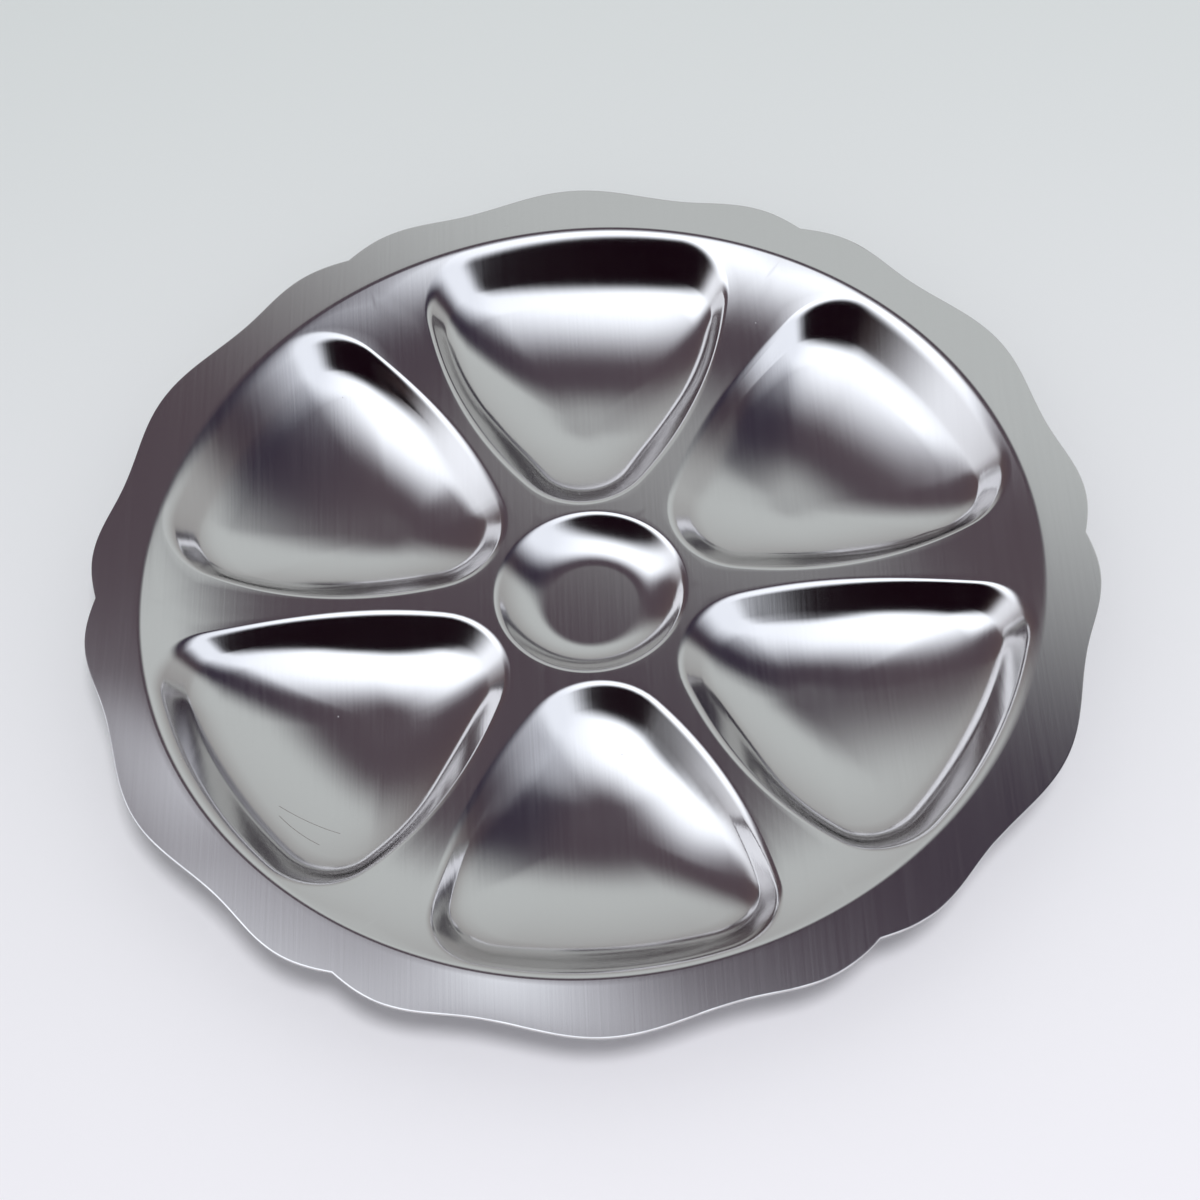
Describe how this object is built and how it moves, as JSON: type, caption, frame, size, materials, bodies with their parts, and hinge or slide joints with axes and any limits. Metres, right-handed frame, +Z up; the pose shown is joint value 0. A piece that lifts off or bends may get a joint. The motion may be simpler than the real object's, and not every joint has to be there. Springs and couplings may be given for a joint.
{
  "type": "oyster plate",
  "caption": "Round pressed-steel oyster plate with a lobed flat rim, shell-shaped wells set in a ring and a round cup at the centre.",
  "frame": {"origin": "centre of the plate, on the surface that it stands on", "axes": "+Z up, out of the bowl of the plate; +Y along the axis of one well, from the centre cup outwards; +X to its right, through a notch of the rim"},
  "size_m": [0.247, 0.25, 0.0211],
  "materials": {
    "steel": "finely brushed stainless steel, near to a mirror along the grain"
  },
  "bodies": {
    "root": {"plate": "steel"}
  },
  "joints": []
}
